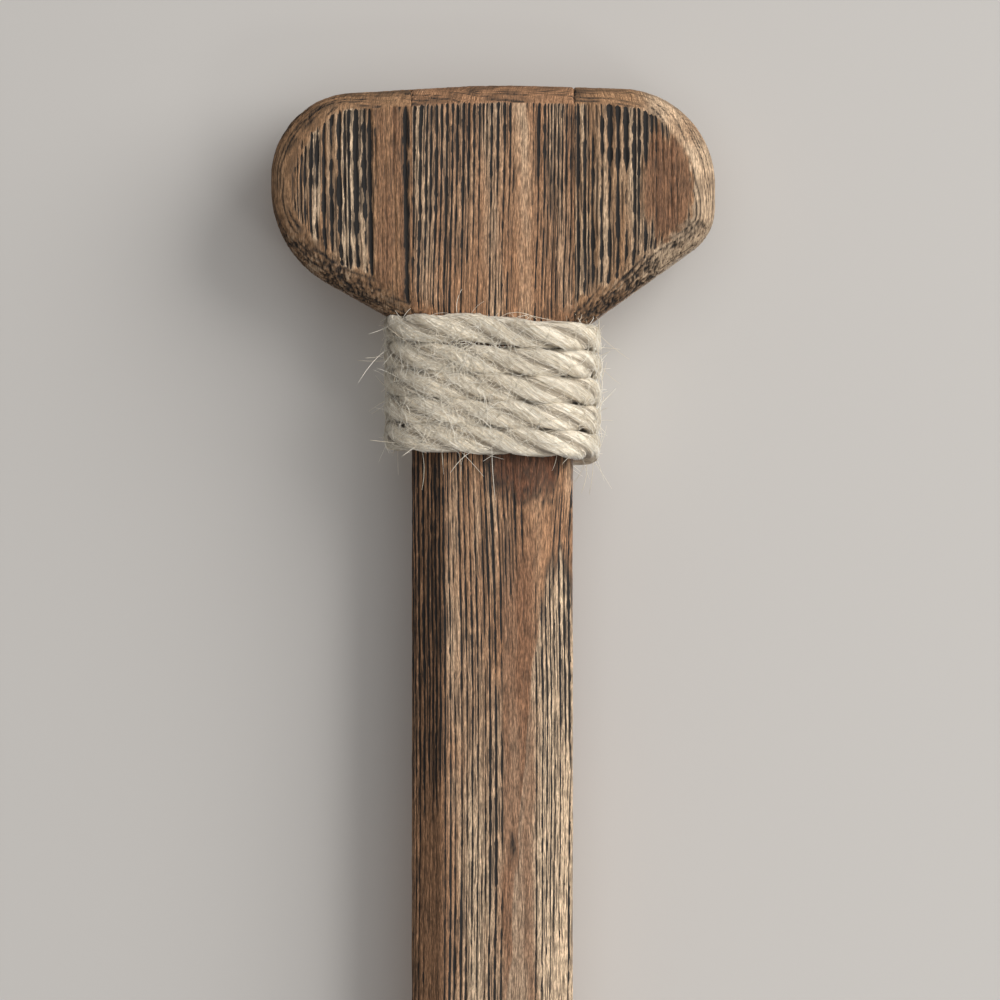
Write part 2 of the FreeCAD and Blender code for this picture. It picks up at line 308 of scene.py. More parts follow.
def stick_marks(x, y, z):
    """The stick: dark at its left, plain in the middle of the grip, a knot under the rope."""
    front = ramp(4, -4, y)
    edge = HALF_WIDTH - np.abs(x)
    x, z = streaky(x, z)
    mask = 0.68 + 0.24 * layered(31, x / 5, z / 45) + 0.12 * ramp(-70, -50, z)
    mask += 0.42 * patch(x, z, -21, -7, -38, 2, 4, 16) + 0.2 * patch(x, z, -6, 3, -14, 2, 2, 6)
    mask += 0.35 * patch(x, z, 10, 21, -24, 2, 1.2, 12)
    mask -= 0.8 * patch(x, z, 5.2, 9.8, -62, -6, 0.6, 3) * front
    mask -= 0.24 * patch(x, z, -8, 12, -60, -30, 4, 10)
    mask -= 0.75 * patch(x, z, 8, 14.5, -124, -104, 1.2, 4) * front
    mask -= 0.55 * patch(x, z, 3.0, 11.0, -270, -124, 1.6, 10) * front
    mask += 0.35 * patch(x, z, -21, -12, -175, -92, 1.0, 18)
    mask -= 0.45 * patch(x, z, -18, -12.6, -600, -180, 1.0, 12)
    mask += 0.12 * patch(x, z, -12, 2, -260, -92, 2.0, 30)
    mask -= 0.2 * patch(x, z, 11, 21, -600, -160, 2.0, 20)
    in_oval = -(z + 116.5) / 7 - ((x - 16.6) / 3.2) ** 2
    oval = ramp(-0.5, 0.5, in_oval) * ramp(-420, -300, z) * front
    mask += 0.28 * oval
    tone = 0.44 + 0.28 * layered(41, x / 4, z / 70) + 0.34 * oval
    tone += 0.22 * patch(x, z, -12, 2, -500, -100, 2, 20)
    # Darker tone on the stick's left corner facet: partly stain, partly painted shade for the facet turned
    # away from the light.
    tone -= 0.25 * patch(x, z, -21, -12.4, -500, -80, 1, 10)
    from_knot = np.hypot((x - 8.4) / 9.5, (z + 91.5) / 11.5) + 0.10 * layered(51, x / 3, z / 3)
    knot = ramp(1.15, 0.85, from_knot) * front
    swirl = np.exp(-(((x - 13.6) / 1.8) ** 2) - ((z + 104.0) / 1.3) ** 2) * front
    tone -= 0.22 * patch(x, z, 8.0, 12.0, -600, -165, 1.5, 20) * front
    tone += 0.22 * patch(x, z, 13.0, 21, -600, -130, 1.5, 20) * front
    rust = 0.42 * patch(x, z, 2, 10.5, -420, -114, 1.6, 14) * front
    ink = 0.55 * swirl + 0.8 * np.exp(-(((x - 4.9) / 0.8) ** 2) - ((z + 191) / 3.2) ** 2) * front
    ink = ink + 0.45 * ramp(0.8, 0.0, edge) * ramp(-70, -60, z)
    cracks = 0.25 * ramp(0.1, 0.6, layered(52, x / 1.2, z / 5))
    ink = ink + knot * (cracks + 0.4 * ramp(0.25, 0.75, np.sin(17 * from_knot)))
    ink = ink + 0.6 * np.exp(-(((from_knot - 1.02) / 0.05) ** 2)) * front
    ink = ink + 0.5 * np.exp(-((in_oval / 0.35) ** 2)) * ramp(-150, -125, z) * front
    return mask - 0.30 * knot, tone, 0.78 * knot + rust, ink


def left_marks(x, y, z):
    """The left cheek: bold dark and pale stripes, then a plain brown band beside the joint."""
    front = ramp(6, -2, y)
    ragged = x + 0.9 * noise(61, z / 3.5, x / 3) + 0.5 * noise(62, z / 1.2, x / 0.8)
    ragged = ragged + 0.8 * noise(63, z / 9, x * 0)
    torn = ramp(-23.2, -21.2, ragged) * ramp(-1, -13, z)
    ink = 0.9 * ramp(0.35, 0.75, torn * (0.72 + 0.5 * noise(64, z / 3.5, x / 0.35)))
    x, z = streaky(x, z)
    mask = 0.88 + 0.2 * layered(32, x / 3, z / 30)
    mask -= 0.85 * patch(x, z, -29.2, -23.0, -70, 5, 0.7, 3) * front
    mask -= 0.75 * patch(x, z, -60, -49.3, -48, -12, 0.8, 5)
    tone = 0.50 + 0.3 * layered(42, x / 2, z / 50)
    tone += 0.45 * patch(x, z, -37.4, -34.2, -60, 0, 0.6, 6) + 0.45 * patch(x, z, -45, -43.2, -60, 0, 0.5, 6)
    tone -= 0.30 * patch(x, z, -29.2, -21, -70, 5, 0.8, 3) + 0.15 * patch(x, z, -60, -49, -48, -12, 1, 5)
    return mask, tone, 0.15 * patch(x, z, -29.2, -21, -70, 5, 1, 4), ink


def right_marks(x, y, z):
    """The right cheek: wide stripes, black near the crown, and a plain reddish oval at the side."""
    front = ramp(6, -2, y)
    x, z = streaky(x, z)
    mask = 0.84 + 0.2 * layered(33, x / 3, z / 30)
    mask += 0.5 * patch(x, z, 28, 40, -20, 0, 2, 5)
    oval = ramp(1.15, 0.8, np.hypot((x - 43.5) / 6.5, (z + 25) / 15)) * front
    mask -= 0.62 * oval
    tone = 0.48 + 0.3 * layered(43, x / 2.5, z / 50) - 0.32 * oval
    return mask, tone, 0.5 * oval, 0 * x


def blade_marks(x, y, z):
    """The blade's boards: even stripes with a few plain stretches."""
    mask = 0.6 + 0.4 * layered(34, x / 12, z / 160)
    tone = 0.45 + 0.35 * layered(44, x / 10, z / 150)
    rust = 0.4 * ramp(0.2, 0.7, layered(54, x / 14, z / 200))
    return mask, tone, rust, 0 * x


PLANKS = {
    "stick": {"tree": Tree(7, (-210.0, 40.0), 1.22), "marks": stick_marks, "depth": 0.42, "bold": 1.0},
    "left": {"tree": Tree(19, (-260.0, 30.0), 1.45, 1.3), "marks": left_marks, "depth": 0.85, "bold": 1.4},
    "right": {"tree": Tree(23, (240.0, 50.0), 1.5, 1.2), "marks": right_marks, "depth": 0.65, "bold": 1.25},
    "blade_left": {"tree": Tree(29, (150.0, 70.0), 1.5), "marks": blade_marks, "depth": 0.35, "bold": 1.0},
    "blade_right": {"tree": Tree(37, (-190.0, 60.0), 1.6), "marks": blade_marks, "depth": 0.35, "bold": 1.0},
}
RIM_TONE = {"stick": 0.22, "left": 0.28, "right": 0.22}
RIM_STAIN = {"stick": 0.06, "left": 0.09, "right": 0.05}
JOINT_FOOT = -59.0  # the cheeks' joints with the stick end about here, under the rope


def knot_bend(x, z):
    """Pushes the grain of the stick aside round its knot."""
    away = x - 9.0
    near = np.exp(-((away / 11) ** 2) - ((z + 93) / 17) ** 2)
    return x - 0.25 * away * near


def carve(points, normals, name):
    """Lowers each point along its normal by the brushed grain, and gives the material its numbers."""
    plank = PLANKS[name]
    x, y, z = points.T
    mask, tone, red, ink = plank["marks"](x, y, z)
    bent = knot_bend(x, z) if name == "stick" else x
    cut, rings = brushed(plank["tree"], bent, y, z, np.clip(mask, 0.02, 1), plank["bold"])
    depth = np.full(len(x), plank["depth"])
    if name in RIM_TONE:
        wavy = np.abs(normals[:, 1]) + 0.02 * noise(72, x / 1.4, z / 1.4)
        rim = (1 - ramp(0.915, 0.965, wavy)) * ramp(-60.5, -59.0, z)
        slope = ramp(-0.10, -0.45, normals[:, 2])
        bristle = ramp(0.1, -0.4, normals[:, 0]) * ramp(0.1, 0.5, normals[:, 2])
        rim_cut, rim_stain, rim_tone = rim_grain(plank["tree"].seed, x, y, z, slope, bristle)
        pale = ramp(24, 44, x) if name == "right" else 0
        cut = cut + rim * (rim_cut - cut)
        ink = np.maximum(ink * (1 - rim), rim * (rim_stain + RIM_STAIN[name]))
        tone = tone + rim * (RIM_TONE[name] + 0.44 * pale + rim_tone - tone)
        red = red * (1 - rim)
        rings[:, 1:3] *= (1 - rim)[:, None]
        depth = depth + rim * (0.45 - depth)
    rough = 0.05 * noise(71, x / 0.8, y / 0.8, z / 5)
    in_joint = (np.abs(np.abs(x) - HALF_WIDTH) < 0.35) & (z > JOINT_FOOT) & (np.abs(normals[:, 0]) > 0.4)
    direction = normals.copy()
    direction[in_joint, 0] = 0.0
    lowered = points - direction * (depth * cut + 0.07 + rough)[:, None]
    return lowered, np.clip(np.stack([ink, tone, red, cut], 1), 0, 1), rings


# ---- Mesh helpers


def new_piece(name, points, faces, material, body="root"):
    """A smooth-shaded piece from millimetre points, riding on a body."""
    mesh = bpy.data.meshes.new(name)
    mesh.from_pydata(to_frame(points).tolist(), [], faces)
    mesh.polygons.foreach_set("use_smooth", np.ones(len(mesh.polygons), bool))
    mesh.materials.append(material)
    piece = bpy.data.objects.new(name, mesh)
    bpy.context.scene.collection.objects.link(piece)
    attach(piece, body)
    return piece


def paint(piece, name, numbers):
    """Stores four numbers a point for the material to read."""
    layer = piece.data.attributes.new(name, "FLOAT_COLOR", "POINT")
    layer.data.foreach_set("color", np.asarray(numbers, np.float32).ravel())


def numbers_of(items, name, kind=float):
    """One three-number property of every vertex or face of a mesh."""
    numbers = np.empty(len(items) * 3, kind)
    items.foreach_get(name, numbers)
    return numbers.reshape(-1, 3)


def loops_of(mesh):
    """Point number and face number of each face corner."""
    points = np.empty(len(mesh.loops), np.int32)
    mesh.loops.foreach_get("vertex_index", points)
    totals = np.empty(len(mesh.polygons), np.int32)
    mesh.polygons.foreach_get("loop_total", totals)
    return points, np.repeat(np.arange(len(totals)), totals)


def store_unwrap(mesh, flat):
    """Keeps a place in the unit square for each face corner, for baking the looks."""
    layer = mesh.uv_layers.new(name="OFBake")
    layer.data.foreach_set("uv", np.clip(flat, 0, 1).astype(np.float32).ravel())


UNWRAP_GAP = 1.5  # millimetres between two views laid flat
CELL_EDGE = 0.04  # share of a tube's cell that stays empty at each side


def unwrap_wood(mesh, band, split_at):
    """Six flat views of the piece, cut across into bands and packed in rows. All in millimetres."""
    corner_point, corner_face = loops_of(mesh)
    place = numbers_of(mesh.vertices, "co") / MM
    normal = numbers_of(mesh.polygons, "normal")
    centre = numbers_of(mesh.polygons, "center")
    level = np.floor(centre[:, 2] / MM / band).astype(int)
    axis = np.abs(normal).argmax(1)
    side = axis * 2 + (normal[np.arange(len(axis)), axis] > 0)
    later = (np.arange(len(axis)) >= split_at).astype(int)
    key = (level - level.min()) * 12 + side * 2 + later
    corner_key = key[corner_face]
    corner_axis = axis[corner_face]
    across = np.where(corner_axis == 0, place[corner_point, 1], place[corner_point, 0])
    along = np.where(corner_axis == 2, place[corner_point, 1], place[corner_point, 2])
    flat = np.stack([across, along], 1)
    islands = []
    for value in np.unique(corner_key):
        mine = np.flatnonzero(corner_key == value)
        low = flat[mine].min(0)
        flat[mine] -= low
        islands.append((mine, flat[mine].max(0) + UNWRAP_GAP))
    islands.sort(key=lambda island: -island[1][1])
    area = sum(size[0] * size[1] for mine, size in islands)
    row_length = max(1.08 * math.sqrt(area), max(size[0] for mine, size in islands))
    x, y, row = 0.0, 0.0, 0.0
    for mine, size in islands:
        if x + size[0] > row_length:
            x, y, row = 0.0, y + row, 0.0
        flat[mine] += (x, y)
        x += size[0]
        row = max(row, size[1])
    store_unwrap(mesh, (flat + UNWRAP_GAP / 2) / max(row_length + UNWRAP_GAP, y + row + UNWRAP_GAP))


def unwrap_tubes(mesh, rows, sides, tubes, columns):
    """Every tube of a mesh laid flat in a cell of its own. The last faces are the tubes' ends."""
    corner_point, corner_face = loops_of(mesh)
    tube, rest = np.divmod(corner_point, rows * sides)
    row, side = np.divmod(rest, sides)
    wall = corner_face < tubes * (rows - 1) * sides
    last_side = corner_face % sides == sides - 1
    side = np.where(wall & last_side & (side == 0), sides, side)
    cells_down = math.ceil(tubes / columns)
    fill = 1 - 2 * CELL_EDGE
    u = (tube % columns + CELL_EDGE + fill * row / (rows - 1)) / columns
    v = (tube // columns + CELL_EDGE + fill * side / sides) / cells_down
    store_unwrap(mesh, np.stack([u, v], 1))


def arrays_of(mesh):
    """Points, normals and faces of a mesh."""
    normals = numbers_of(mesh.vertex_normals, "vector", np.float32).astype(float)
    faces = [tuple(face.vertices) for face in mesh.polygons]
    return numbers_of(mesh.vertices, "co"), normals, faces


def remeshed(bm, across, along):
    """An even mesh of a closed shape, with faces of one size across the grain and another along it."""
    squeeze = across / along
    bmesh.ops.scale(bm, vec=(1, 1, squeeze), verts=bm.verts)
    mesh = bpy.data.meshes.new("remesh")
    bm.to_mesh(mesh)
    holder = bpy.data.objects.new("remesh", mesh)
    bpy.context.scene.collection.objects.link(holder)
    modifier = holder.modifiers.new("remesh", "REMESH")
    modifier.mode = "VOXEL"
    modifier.voxel_size = across
    modifier.adaptivity = 0.0
    graph = bpy.context.evaluated_depsgraph_get()
    even = bpy.data.meshes.new_from_object(holder.evaluated_get(graph))
    stretch = numbers_of(even.vertices, "co")
    stretch[:, 2] /= squeeze
    even.vertices.foreach_set("co", stretch.ravel())
    even.update()
    result = arrays_of(even)
    bpy.data.objects.remove(holder)
    bpy.data.meshes.remove(mesh)
    bpy.data.meshes.remove(even)
    return result


# ---- Grip

GRIP_CORNERS = [
    (3.7, -74.4, 12.0),
    (-REACH_LEFT, -41.5, 27.0),
    (-REACH_LEFT, -3.0, 21.0),
    (0.0, 0.2, 250.0),
    (REACH_RIGHT, -1.5, 24.0),
    (REACH_RIGHT, -37.2, 13.0),
]  # x, z and radius of the outline's corners, as in the CAD part
RIM_STEPS = 9
RIM_SWEEP = math.radians(66)  # the rim meets the front in a crease, not in a tangent
PIECE_FOOT = {"left": -57.5, "middle": -66.0, "right": -59.5}  # the left one ends inside the rope
ROUNDING_STEP = 0.8


def arc_points(before, corner, after, radius):
    """Points along the arc that rounds a corner."""
    inward = (before - corner) / np.linalg.norm(before - corner)
    onward = (after - corner) / np.linalg.norm(after - corner)
    turn = math.pi - math.acos(np.clip(inward @ onward, -1, 1))
    bisector = (inward + onward) / np.linalg.norm(inward + onward)
    centre = corner + bisector * radius / math.cos(turn / 2)
    start = corner + inward * radius * math.tan(turn / 2) - centre
    end = corner + onward * radius * math.tan(turn / 2) - centre
    count = max(3, int(radius * turn / ROUNDING_STEP))
    share = np.linspace(0, 1, count)[:, None]
    return centre + (start * np.sin((1 - share) * turn) + end * np.sin(share * turn)) / math.sin(turn)


def even_steps(points, step):
    """A closed line divided into equal steps."""
    closed = np.vstack([points, points[:1]])
    lengths = np.linalg.norm(np.diff(closed, axis=0), axis=1)
    along = np.concatenate([[0], np.cumsum(lengths)])
    places = np.linspace(0, along[-1], int(along[-1] / step), endpoint=False)
    return np.stack([np.interp(places, along, closed[:, i]) for i in (0, 1)], 1)


def rim_width(normals, x):
    """The rim is narrow along the crown, wider at the sides and widest on the lower slopes."""
    up = normals[:, 1]
    width = 6.6 - 1.9 * ramp(0.6, 1.0, up) + 2.3 * ramp(-0.3, -0.7, up)
    width += 1.6 * patch(x, up, -60, -36, 0.2, 0.93, 6, 0.2)
    return width


def grip_blank():
    """The whole grip as one closed shape."""
    corners = np.array(GRIP_CORNERS)[:, :2]
    line = []
    for i, (_, _, radius) in enumerate(GRIP_CORNERS):
        line.append(arc_points(corners[i - 1], corners[i], corners[(i + 1) % len(corners)], radius))
    outline = even_steps(np.vstack(line), ROUNDING_STEP)
    tangent = np.roll(outline, -1, 0) - np.roll(outline, 1, 0)
    outward = np.stack([-tangent[:, 1], tangent[:, 0]], 1)
    outward /= np.linalg.norm(outward, axis=1)[:, None]
    if (outward * (outline - outline.mean(0))).sum() < 0:
        outward = -outward
    around = np.arange(len(outline)) * ROUNDING_STEP
    width = rim_width(outward, outline[:, 0]) + 0.5 * layered(81, around / 9, around * 0)
    rise = 6.5 + 0.3 * layered(82, around / 14, around * 0)
    rings = []
    for share in np.linspace(0, 1, RIM_STEPS):
        angle = share * RIM_SWEEP
        inset = width * (1 - math.cos(angle)) / (1 - math.cos(RIM_SWEEP))
        lift = HALF_DEPTH - rise + rise * math.sin(angle) / math.sin(RIM_SWEEP)
        rings.append((inset, lift))
    profile = [(inset, -lift) for inset, lift in rings[::-1]] + rings
    bm = bmesh.new()
    grid = []
    for inset, y in profile:
        flat = outline - outward * inset[:, None]
        grid.append([bm.verts.new((px, py, pz)) for (px, pz), py in zip(flat, y)])
    count = len(outline)
    for lower, upper in zip(grid, grid[1:]):
        for i in range(count):
            bm.faces.new((lower[i], lower[(i + 1) % count], upper[(i + 1) % count], upper[i]))
    bm.faces.new(grid[0][::-1])
    bm.faces.new(grid[-1])
    bmesh.ops.recalc_face_normals(bm, faces=bm.faces)
    return bm


def cut_off(bm, point, normal):
    """Removes what lies beyond a plane, and closes the cut."""
    everything = bm.verts[:] + bm.edges[:] + bm.faces[:]
    cut = bmesh.ops.bisect_plane(bm, geom=everything, plane_co=point, plane_no=normal, clear_outer=True)
    edges = [e for e in cut["geom_cut"] if isinstance(e, bmesh.types.BMEdge)]
    bmesh.ops.holes_fill(bm, edges=edges, sides=0)


GRIP_ACROSS = 0.27
GRIP_ALONG = 1.0


def grip_piece(blank, x0, x1, foot):
    """Points, normals and faces of the part of the grip between two joints."""
    bm = blank.copy()
    if x0 is not None:
        cut_off(bm, (x0, 0, 0), (-1, 0, 0))
    if x1 is not None:
        cut_off(bm, (x1, 0, 0), (1, 0, 0))
    cut_off(bm, (0, 0, foot), (0, 0, -1))
    result = remeshed(bm, GRIP_ACROSS, GRIP_ALONG)
    bm.free()
    return result


# ---- Shaft and rib

CORNER_FLAT = 7.8
EASING = 1.2
RIB_TIP_HALF_DEPTH = 6.7
TIP_RADIUS = 140.0
TIP_REACH = 60.0  # how far above the tip the mesh rows start to follow its curve
SHAFT_TOP = -64.0
FINE_FOOT = -240.0
FINE_ROW = 1.6
COARSE_ROW = 7.0
FINE_COLUMN = 0.25
COARSE_COLUMN = 0.72
BLADE_ROOT = (blade_hi.z - CROWN_Z) / MM
CAP_RINGS = 14


def section_corners(depth):
    """The eight corners of the stick's section, whose front and back lie this far from its middle."""
    inner = HALF_WIDTH - CORNER_FLAT
    side = HALF_DEPTH - CORNER_FLAT
    front = [(-HALF_WIDTH, -side), (-inner, -depth), (inner, -depth), (HALF_WIDTH, -side)]
    return np.array(front + [(-x, -y) for x, y in front])


def section_weights():
    """How much of each of the section's eight corners goes into each mesh column."""
    corners = section_corners(HALF_DEPTH)
    rows = []
    for i in range(8):
        before, after = (i - 1) % 8, (i + 1) % 8
        length = np.linalg.norm(corners[after] - corners[i])
        ease = EASING / length
        ease_before = EASING / np.linalg.norm(corners[before] - corners[i])
        for t in (0.0, 0.33, 0.67):
            row = np.zeros(8)
            row[before] = (1 - t) ** 2 * ease_before
            row[after] = t**2 * ease
            row[i] = 1 - row[before] - row[after]
            rows.append(row)
        front = i in (0, 1, 2)
        column = FINE_COLUMN if front else COARSE_COLUMN
        count = 2 * int((length - 2 * EASING) / column / 2) + 1
        for share in np.linspace(ease, 1 - ease, count + 1)[:-1]:
            row = np.zeros(8)
            row[i], row[after] = 1 - share, share
            rows.append(row)
    if len(rows) % 2:
        rows.pop()
    return np.array(rows)


def section_at(weights, z):
    """The section's points at one height. Below the blade's root it flattens towards the tip."""
    share = np.clip((BLADE_ROOT - z) / (BLADE_ROOT + LENGTH), 0, 1)
    depth = HALF_DEPTH + (RIB_TIP_HALF_DEPTH - HALF_DEPTH) * share
    flat = weights @ section_corners(depth)
    tip = ramp(-LENGTH + TIP_REACH, -LENGTH, z)
    height = z + tip * flat[:, 0] ** 2 / (2 * TIP_RADIUS)
    return np.column_stack([flat, height])


def tube_faces(start, rows, sides):
    """The faces between the rings of a tube whose points begin at start."""
    faces = []
    for base in range(start, start + (rows - 1) * sides, sides):
        for i in range(sides):
            j = (i + 1) % sides
            faces.append((base + i, base + j, base + sides + j, base + sides + i))
    return faces


def shaft_mesh():
    """Points and faces of the shaft and rib: a fine tube, a coarse tube and a cap at each end."""
    weights = section_weights()
    count = len(weights)
    fine = [section_at(weights, z) for z in np.arange(SHAFT_TOP, FINE_FOOT, -FINE_ROW)]
    coarse_rows = int((FINE_FOOT + LENGTH) / COARSE_ROW)
    coarse = [section_at(weights[::2], z) for z in np.linspace(FINE_FOOT, -LENGTH, coarse_rows)]
    for share in np.linspace(1, 0, CAP_RINGS + 1)[1:-1]:
        ring = coarse[-1] * (share, share, 1)
        ring[:, 2] = -LENGTH + ring[:, 0] ** 2 / (2 * TIP_RADIUS)
        coarse.append(ring)
    points = np.vstack(fine + coarse)
    faces = [tuple(range(count))[::-1]] + tube_faces(0, len(fine), count)
    top = (len(fine) - 1) * count
    start = len(fine) * count
    half = count // 2
    for i in range(half):
        a, b, c = top + 2 * i, top + 2 * i + 1, top + (2 * i + 2) % count
        low, low_next = start + i, start + (i + 1) % half
        faces.extend([(a, b, low), (b, low_next, low), (b, c, low_next)])
    faces += tube_faces(start, len(coarse), half)
    last = start + (len(coarse) - 1) * half
    faces.append(tuple(last + i for i in range(half)))
    return points, [face[::-1] for face in faces]


def normals_of(points, faces):
    """The smooth normal at each point of a mesh that isn't made yet."""
    mesh = bpy.data.meshes.new("normals")
    mesh.from_pydata(points.tolist(), [], faces)
    result = arrays_of(mesh)
    bpy.data.meshes.remove(mesh)
    return result[1]


def joined(parts):
    """Several shells as one list of points, normals and faces."""
    points = np.vstack([part[0] for part in parts])
    normals = np.vstack([part[1] for part in parts])
    faces = []
    start = 0
    for part in parts:
        faces.extend(tuple(start + i for i in face) for face in part[2])
        start += len(part[0])
    return points, normals, faces


# ---- Blade boards

BOARD_ACROSS = 0.75
BOARD_ALONG = 3.5


def board_shape(node):
    """An even mesh of a board, in which the dowels' bores come out closed. Nothing shows them."""
    bm = bmesh.new()
    bm.from_mesh(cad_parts[node].data)
    bmesh.ops.remove_doubles(bm, verts=bm.verts, dist=1e-6)
    to_mm = (1 / MM, 1 / MM, 1 / MM)
    bmesh.ops.translate(bm, vec=(0, -MIDDLE_Y, -CROWN_Z), verts=bm.verts)
    bmesh.ops.scale(bm, vec=to_mm, verts=bm.verts)
    result = remeshed(bm, BOARD_ACROSS, BOARD_ALONG)
    bm.free()
    return result


# ---- Wood material

WOOD_ORANGE = (0.40, 0.215, 0.115)
WOOD_BROWN = (0.235, 0.125, 0.067)
WOOD_TAN = (0.68, 0.50, 0.335)
WOOD_RED = (0.125, 0.045, 0.026)
STAIN_BROWN = (0.060, 0.042, 0.030)
STAIN_BLACK = (0.019, 0.017, 0.016)


def add_node(tree, kind, **values):
    node = tree.nodes.new(kind)
    for key, value in values.items():
        setattr(node, key, value)
    return node


def colour_mix(tree, share, below, above, blend="MIX"):
    """A colour mix node. Each of share, below and above is a socket or a plain value."""
    node = add_node(tree, "ShaderNodeMix", data_type="RGBA", blend_type=blend)
    for socket, value in ((node.inputs[0], share), (node.inputs[6], below), (node.inputs[7], above)):
        if isinstance(value, bpy.types.NodeSocket):
            tree.links.new(value, socket)
        elif isinstance(value, tuple):
            socket.default_value = (*value, 1)
        else:
            socket.default_value = value
    return node.outputs[2]


def arithmetic(tree, operation, first, second=None):
    node = add_node(tree, "ShaderNodeMath", operation=operation)
    for socket, value in zip(node.inputs, (first, second)):
        if isinstance(value, bpy.types.NodeSocket):
            tree.links.new(value, socket)
        elif value is not None:
            socket.default_value = value
    return node.outputs[0]


def remap(tree, value, low, high, new_low=0.0, new_high=1.0):
    node = add_node(tree, "ShaderNodeMapRange", interpolation_type="SMOOTHSTEP")
    tree.links.new(value, node.inputs["Value"])
    node.inputs["From Min"].default_value = low
    node.inputs["From Max"].default_value = high
    node.inputs["To Min"].default_value = new_low
    node.inputs["To Max"].default_value = new_high
    return node.outputs[0]


def streaks(tree, scale, detail=3.0, seed=0.0):
    """Noise in the object's own space, stretched by a different scale along each axis."""
    place = add_node(tree, "ShaderNodeTexCoord")
    stretch = add_node(tree, "ShaderNodeMapping")
    stretch.inputs["Scale"].default_value = scale
    stretch.inputs["Location"].default_value = (seed, seed, seed)
    tree.links.new(place.outputs["Object"], stretch.inputs["Vector"])
    texture = add_node(tree, "ShaderNodeTexNoise")
    texture.inputs["Scale"].default_value = 1.0
    texture.inputs["Detail"].default_value = detail
    tree.links.new(stretch.outputs[0], texture.inputs["Vector"])
    return texture.outputs["Fac"]


def along_grain(tree, far, fine_across, fine_along, detail, seed):
    """Noise that follows the growth rings: one bump per so many mm across them and along the wood."""
    place = add_node(tree, "ShaderNodeTexCoord")
    split = add_node(tree, "ShaderNodeSeparateXYZ")
    tree.links.new(place.outputs["Object"], split.inputs[0])
    join = add_node(tree, "ShaderNodeCombineXYZ")
    tree.links.new(arithmetic(tree, "MULTIPLY", far, 1 / fine_across), join.inputs[0])
    tree.links.new(arithmetic(tree, "MULTIPLY", split.outputs[2], 1000 / fine_along), join.inputs[1])
    join.inputs[2].default_value = seed
    texture = add_node(tree, "ShaderNodeTexNoise")
    texture.inputs["Scale"].default_value = 1.0
    texture.inputs["Detail"].default_value = detail
    tree.links.new(join.outputs[0], texture.inputs["Vector"])
    return texture.outputs["Fac"]


def painted(tree, name):
    """The four numbers that paint() stored at each point."""
    attribute = add_node(tree, "ShaderNodeAttribute", attribute_name=name)
    split = add_node(tree, "ShaderNodeSeparateColor")
    tree.links.new(attribute.outputs["Color"], split.inputs[0])
    return *split.outputs, attribute.outputs["Alpha"]


